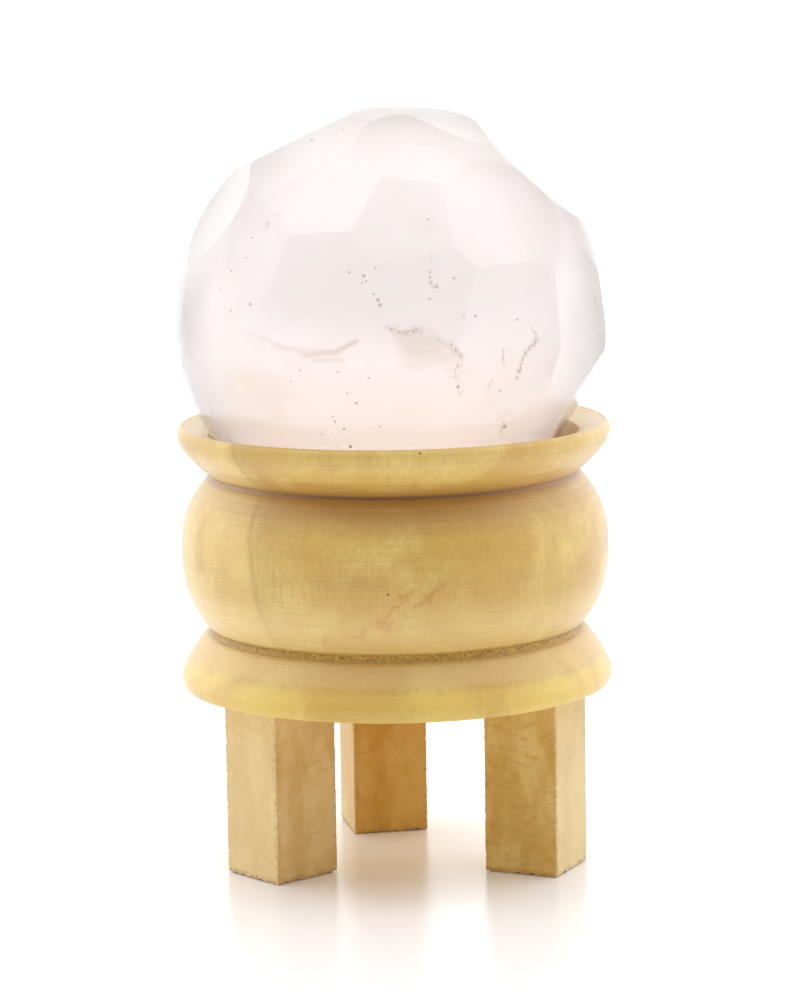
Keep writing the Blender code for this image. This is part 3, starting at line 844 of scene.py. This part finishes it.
class Stone:
    """Coordinates in the ball, in millimetres from its centre, and the masks of its flaws."""

    def __init__(self, g):
        self.place = millimetres(g)
        from_centre = g.vector("SUBTRACT", self.place, (0.0, 0.0, BALL_Z))
        facing = g.vector("NORMALIZE", from_centre)
        self.facing = facing
        self.height = g.split(from_centre)[2]
        self.cloud = g.noise(self.place, scale=0.07, detail=4.0, roughness=0.6, distortion=0.4)
        grain = g.noise(self.place, scale=2.2, detail=4.0, roughness=0.75)
        wobble = g.math("SUBTRACT", g.noise(self.place, scale=0.9, detail=3.0), 0.5)
        wobble = g.math("MULTIPLY", wobble, 0.03)
        slow = g.math("MULTIPLY", g.math("SUBTRACT", g.noise(self.place, scale=0.25), 0.5), 0.02)

        specks = largest(g, [round_mark(g, facing, *speck) for speck in SPECKS])
        self.specks = g.math("MULTIPLY", specks, g.step(grain, 0.3, 0.55, 0.55, 1.0))
        cracks = weighted(g, lambda *row: arc_mark(g, facing, *row, wobble), CRACKS)
        self.cracks = g.math("MULTIPLY", cracks, g.step(grain, 0.46, 0.60, 0.15, 1.0))
        self.bows = weighted(g, lambda *row: arc_mark(g, facing, *row, slow), BOWS)
        veils = weighted(g, lambda *row: round_mark(g, facing, *row, 0.1), VEILS)
        self.veils = g.math("MULTIPLY", veils, g.step(grain, 0.48, 0.64, 0.2, 1.0))
        stains = weighted(g, lambda *row: round_mark(g, facing, *row, 0.1), STAINS)
        self.stains = g.math("MULTIPLY", stains, g.step(grain, 0.48, 0.66, 0.15, 1.0))


def quartz_colour(g, t):
    """Faintly pink stone with a painted warm reflection of the wood low at the front, its tinted patches
    (some of them painted reflection and painted shade) and flaws.
    """
    colour = g.mix(g.step(t.cloud, 0.35, 0.65), linear(253, 241, 237), linear(255, 245, 242))
    for corners, softness, tone, strength in TINTS:
        patch = g.math("MULTIPLY", patch_mark(g, t.facing, corners, softness), strength)
        colour = g.mix(patch, colour, linear(*tone))
    # Painted reflection: the wood seen through the lower front of the stone, as a warm tint
    front = g.step(g.split(t.facing)[1], -0.9, -0.3, 1.0, 0.2)
    painted_wood_reflection = g.math("MULTIPLY", g.step(t.height, -24.0, 4.0, 0.95, 0.0), front)
    colour = g.mix(painted_wood_reflection, colour, linear(224, 196, 175))
    colour = g.mix(t.veils, colour, linear(255, 252, 250))
    colour = g.mix(t.stains, colour, linear(196, 168, 134))
    colour = g.mix(g.math("MULTIPLY", t.bows, 0.75), colour, linear(205, 180, 160))
    colour = g.mix(g.math("MULTIPLY", t.cracks, 0.8), colour, linear(150, 130, 98))
    return g.mix(g.math("MULTIPLY", t.specks, 0.55), colour, linear(146, 126, 112))


def quartz_clearness(g, t):
    """Share of light that passes through: less where the stone is milky, veiled or flawed."""
    milk = g.step(t.height, -22.0, -4.0, 0.06, 0.25)
    milk = g.math("ADD", milk, g.math("MULTIPLY", g.math("SUBTRACT", t.cloud, 0.5), 0.25))
    milk = g.math("ADD", milk, g.math("MULTIPLY", t.veils, 0.4))
    opaque = largest(g, [t.specks, t.cracks, t.bows, t.stains])
    milk = g.math("MAXIMUM", milk, opaque, clamp=True)
    return g.math("SUBTRACT", 1.0, milk, clamp=True)


def inner_normal(g, facing):
    """Facet normal turned most of the way to the sphere's, so that the inside glows evenly."""
    surface = g.node("ShaderNodeNewGeometry")
    way = g.math("SUBTRACT", 1.0, g.math("MULTIPLY", surface.outputs["Backfacing"], 2.0))
    rounded = g.vector("SCALE", facing, scale=g.math("MULTIPLY", way, ROUNDED_SHARE))
    flat = g.vector("SCALE", surface.outputs["Normal"], scale=1.0 - ROUNDED_SHARE)
    return g.vector("NORMALIZE", g.vector("ADD", flat, rounded))


def quartz():
    """Milky, faintly pink quartz with specks, brown cracks and pale veils under a clear polish."""
    made, g, shader = new_material("quartz_look")
    t = Stone(g)
    g.feed(shader.inputs["Base Color"], quartz_colour(g, t))
    g.feed(shader.inputs["Transmission Weight"], quartz_clearness(g, t))
    g.feed(shader.inputs["Roughness"], g.step(t.height, -24.0, -8.0, 0.2, 0.36))
    g.feed(shader.inputs["Normal"], inner_normal(g, t.facing))
    shader.inputs["IOR"].default_value = 1.544
    shader.inputs["Coat Weight"].default_value = 0.75
    shader.inputs["Coat Roughness"].default_value = 0.03
    shader.inputs["Coat IOR"].default_value = 1.54
    shader.inputs["Subsurface Weight"].default_value = 1.0
    shader.inputs["Subsurface Radius"].default_value = (1.0, 0.85, 0.8)
    shader.inputs["Subsurface Scale"].default_value = 0.02
    return made


def ground_edge_and_highlight():
    """Fine ground edge between two facets, whiter than they are: partly the ground edge's own tone, partly
    a painted highlight line along the edge.
    """
    made, g, shader = new_material("quartz_edge_look")
    place = millimetres(g)
    chips = g.noise(place, scale=2.5, detail=3.0)
    g.feed(shader.inputs["Base Color"], g.mix(chips, linear(250, 244, 243), linear(255, 253, 253)))
    g.feed(shader.inputs["Roughness"], g.step(chips, 0.3, 0.7, 0.25, 0.5))
    shader.inputs["Subsurface Weight"].default_value = 1.0
    shader.inputs["Subsurface Radius"].default_value = (1.0, 1.0, 1.0)
    shader.inputs["Subsurface Scale"].default_value = 0.002
    return made


SHARP_FACETS = ((-113.0, 42.0), (-55.5, 33.0))      # facets whose edges were ground crisp
RIDGE_FACETS = ((-77.5, 57.0), (-84.5, 33.5))       # facets that meet in a crisp ridge


def crystal_piece():
    """The ball: the CAD node's facets, joined into whole faces, with fine ground edges."""
    bm = bmesh.new()
    bm.from_mesh(frame["nodes"]["crystal_ball"].data)
    bmesh.ops.remove_doubles(bm, verts=bm.verts, dist=0.01 * MM)
    bmesh.ops.dissolve_limit(bm, angle_limit=math.radians(0.4), verts=bm.verts, edges=bm.edges)
    weights = bm.edges.layers.float.new("bevel_weight_edge")

    def lies_on(face, facets):
        return any(face.normal.angle(toward(*facet)) < math.radians(1.0) for facet in facets)

    for edge in bm.edges:
        crisp = any(lies_on(face, SHARP_FACETS) for face in edge.link_faces)
        ridge = all(lies_on(face, RIDGE_FACETS) for face in edge.link_faces)
        if crisp or ridge:
            edge[weights] = 1.0
        elif edge.calc_face_angle(0.0) > math.radians(6.0):
            edge[weights] = 0.25
    made = finish_mesh(bm, "quartz_ball")
    bevel = made.modifiers.new("ground_edges", "BEVEL")
    bevel.width = 0.16 * MM
    bevel.segments = 2
    bevel.limit_method = "WEIGHT"
    bevel.harden_normals = True
    bevel.material = 1
    made.data.materials.append(quartz())
    made.data.materials.append(ground_edge_and_highlight())
    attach(made, "crystal")
    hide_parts("crystal_ball")


# ---------------------------------------------------------------- stage

FLOOR_REACH = 3.0               # metres each way
FLOOR_GAP = 0.0001              # metres below the legs


def floor():
    """Plain white floor with a faint gloss."""
    made = bpy.data.meshes.new("floor")
    reach = FLOOR_REACH
    corners = [(-reach, -reach, 0.0), (reach, -reach, 0.0), (reach, reach, 0.0), (-reach, reach, 0.0)]
    made.from_pydata(corners, [], [(0, 1, 2, 3)])
    plane = bpy.data.objects.new("floor", made)
    bpy.context.scene.collection.objects.link(plane)
    plane.location.z = -FLOOR_GAP
    look, _, shader = new_material("floor_look")
    shader.inputs["Base Color"].default_value = (0.93, 0.93, 0.97, 1.0)
    shader.inputs["Roughness"].default_value = 0.25
    shader.inputs["Emission Color"].default_value = (1.0, 1.0, 1.0, 1.0)
    shader.inputs["Emission Strength"].default_value = 0.02
    made.materials.append(look)


def world():
    """White surroundings, dim in front and bright behind, a little brighter overhead."""
    made = bpy.data.worlds.new("white_room")
    bpy.context.scene.world = made
    made.use_nodes = True
    g = Graph(made.node_tree)
    nodes = made.node_tree.nodes
    background = nodes["Background"]
    output = nodes["World Output"]
    coordinates = g.node("ShaderNodeTexCoord")
    _, y, z = g.split(coordinates.outputs["Generated"])
    level = g.step(y, -0.95, 0.5, 0.31, 1.52)
    above = g.step(z, 0.5, 0.95, 0.0, 0.36)
    background.inputs["Color"].default_value = (1.0, 1.0, 1.0, 1.0)
    g.feed(background.inputs["Strength"], g.math("ADD", level, above))
    seen = g.node("ShaderNodeBackground")
    seen.inputs["Color"].default_value = (1.0, 1.0, 1.0, 1.0)
    seen.inputs["Strength"].default_value = 1.1
    rays = g.node("ShaderNodeLightPath")
    pick = g.node("ShaderNodeMixShader")
    g.feed(pick.inputs[0], rays.outputs["Is Camera Ray"])
    g.feed(pick.inputs[1], background.outputs[0])
    g.feed(pick.inputs[2], seen.outputs[0])
    g.feed(output.inputs["Surface"], pick.outputs[0])


def softbox(name, place, aim, width, depth, radiance):
    """Rectangular area light aimed at a point, in millimetres, with a radiance of its own."""
    light = bpy.data.lights.new(name, "AREA")
    light.shape = "RECTANGLE"
    light.size = width * MM
    light.size_y = depth * MM
    light.energy = radiance * math.pi * light.size * light.size_y
    made = bpy.data.objects.new(name, light)
    made.location = Vector(place) * MM
    made.rotation_euler = (Vector(aim) - Vector(place)).to_track_quat("-Z", "Y").to_euler()
    bpy.context.scene.collection.objects.link(made)


def lights():
    """A softbox at each side and a long strip overhead."""
    softbox("left_softbox", (-600.0, 100.0, 200.0), (0.0, 0.0, 50.0), 500.0, 450.0, 0.4)
    softbox("right_softbox", (600.0, 100.0, 200.0), (0.0, 0.0, 50.0), 500.0, 450.0, 0.2)
    softbox("top_softbox", (120.0, -60.0, 590.0), (120.0, -60.0, 0.0), 1300.0, 200.0, 0.8)


def camera():
    """Camera at the photograph's angle."""
    elevation = math.radians(CAMERA_ELEVATION)
    roll = math.radians(CAMERA_ROLL)
    back = Vector((0.0, -math.cos(elevation), math.sin(elevation)))
    right = Vector((1.0, 0.0, 0.0))
    up = back.cross(right)
    across = right * math.cos(roll) + up * math.sin(roll)
    upward = up * math.cos(roll) - right * math.sin(roll)
    data = bpy.data.cameras.new("camera")
    data.lens = LENS
    data.sensor_width = SENSOR
    data.sensor_fit = "AUTO"
    data.clip_start = 0.01
    made = bpy.data.objects.new("camera", data)
    place = (Vector(CAMERA_TARGET) + back * CAMERA_DISTANCE) * MM
    turn_to = Matrix((across, upward, back)).transposed().to_4x4()
    made.matrix_world = Matrix.Translation(place) @ turn_to
    bpy.context.scene.collection.objects.link(made)
    bpy.context.scene.camera = made


turned_piece()
leg_pieces()
dowel_look()
crystal_piece()
floor()
world()
lights()
camera()
bpy.context.scene.view_settings.view_transform = "Standard"
bpy.context.scene.view_settings.look = "None"
